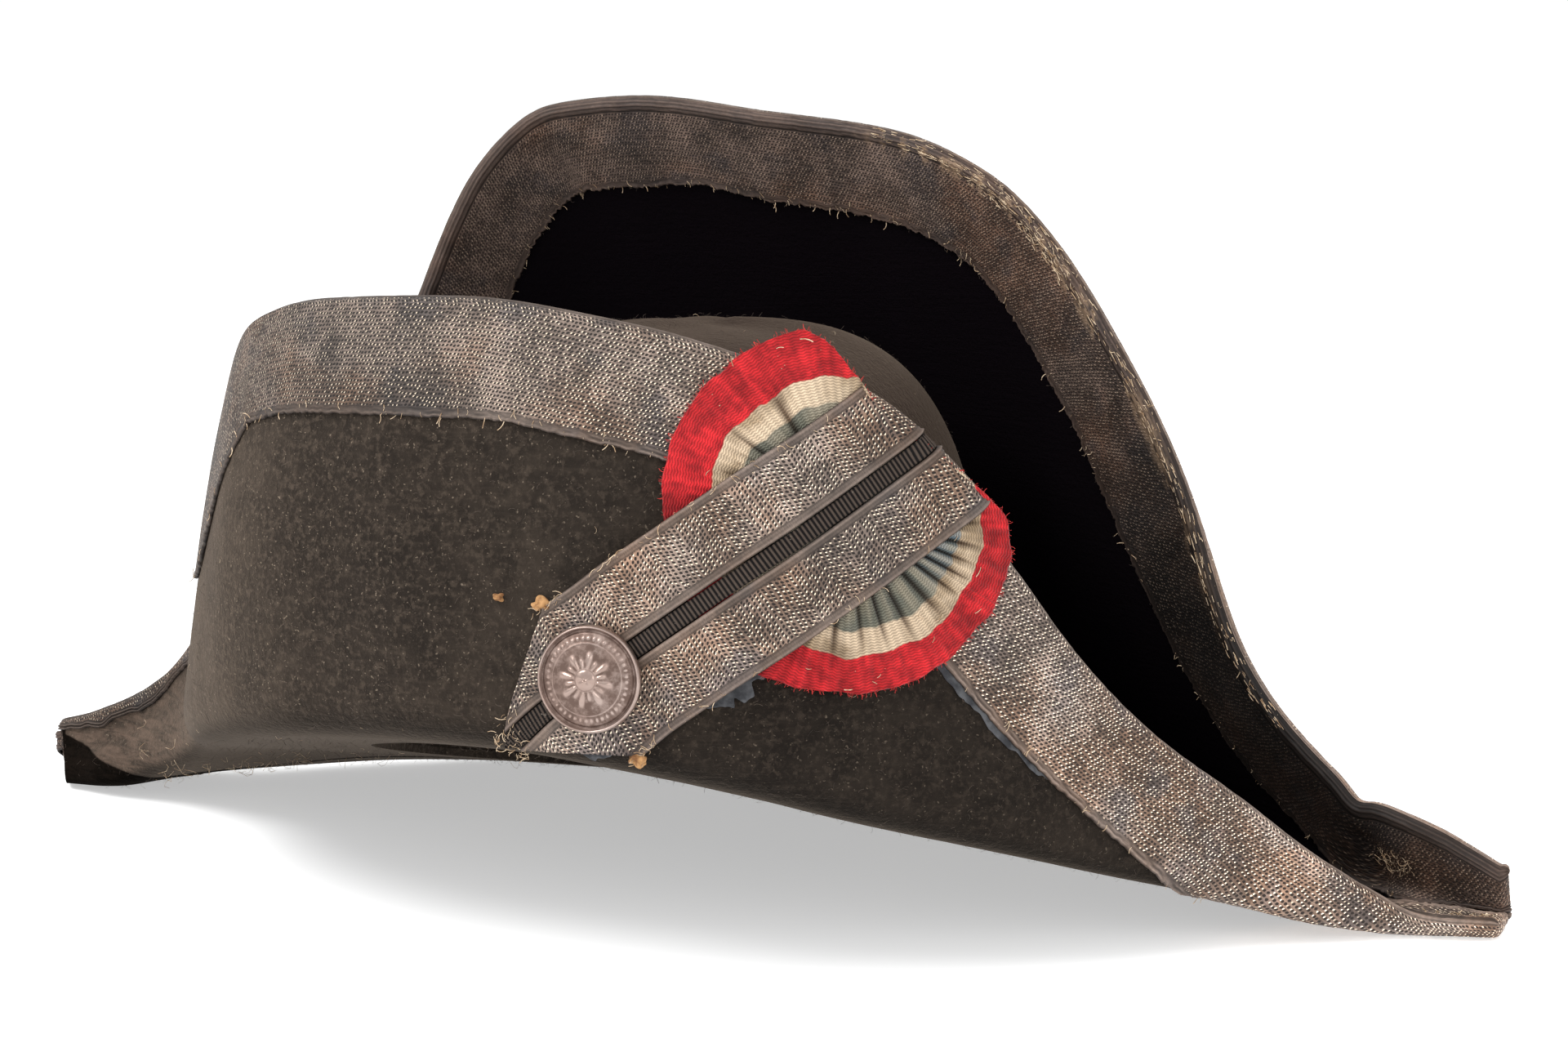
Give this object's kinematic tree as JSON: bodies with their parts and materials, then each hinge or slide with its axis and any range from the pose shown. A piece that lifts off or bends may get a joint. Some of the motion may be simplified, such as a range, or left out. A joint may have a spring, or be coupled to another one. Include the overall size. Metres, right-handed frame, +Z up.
{
  "type": "bicorne hat",
  "caption": "Old felt bicorne hat with silver-lace edging, a tall rear flap over a low front flap, drooping horns, and a pleated cockade under a buttoned lace loop.",
  "frame": {"origin": "middle of the hat's bounding box, on the table it rests on", "axes": "+X from the left horn to the right horn as seen from the front, the low front flap faces -Y, +Z up"},
  "size_m": [0.4452, 0.2266, 0.2066],
  "materials": {
    "felt": "brown-black brushed felt, matt",
    "edge_lace": "tarnished silver-thread lace",
    "inner_lace": "worn, darker silver-thread lace",
    "cockade_ribbon": "ribbed red, cream and blue-grey ribbon",
    "loop_lace": "tarnished silver-thread lace",
    "black_ribbon": "ribbed black ribbon",
    "button_metal": "silvered, worn to a pinkish copper"
  },
  "bodies": {
    "root": {"felt_body": "felt", "edge_lace_outer": "edge_lace", "edge_lace_inner": "inner_lace", "cockade": "cockade_ribbon", "loop_strip_upper": "loop_lace", "loop_strip_lower": "loop_lace", "loop_ribbon": "black_ribbon", "button": "button_metal"}
  },
  "joints": []
}
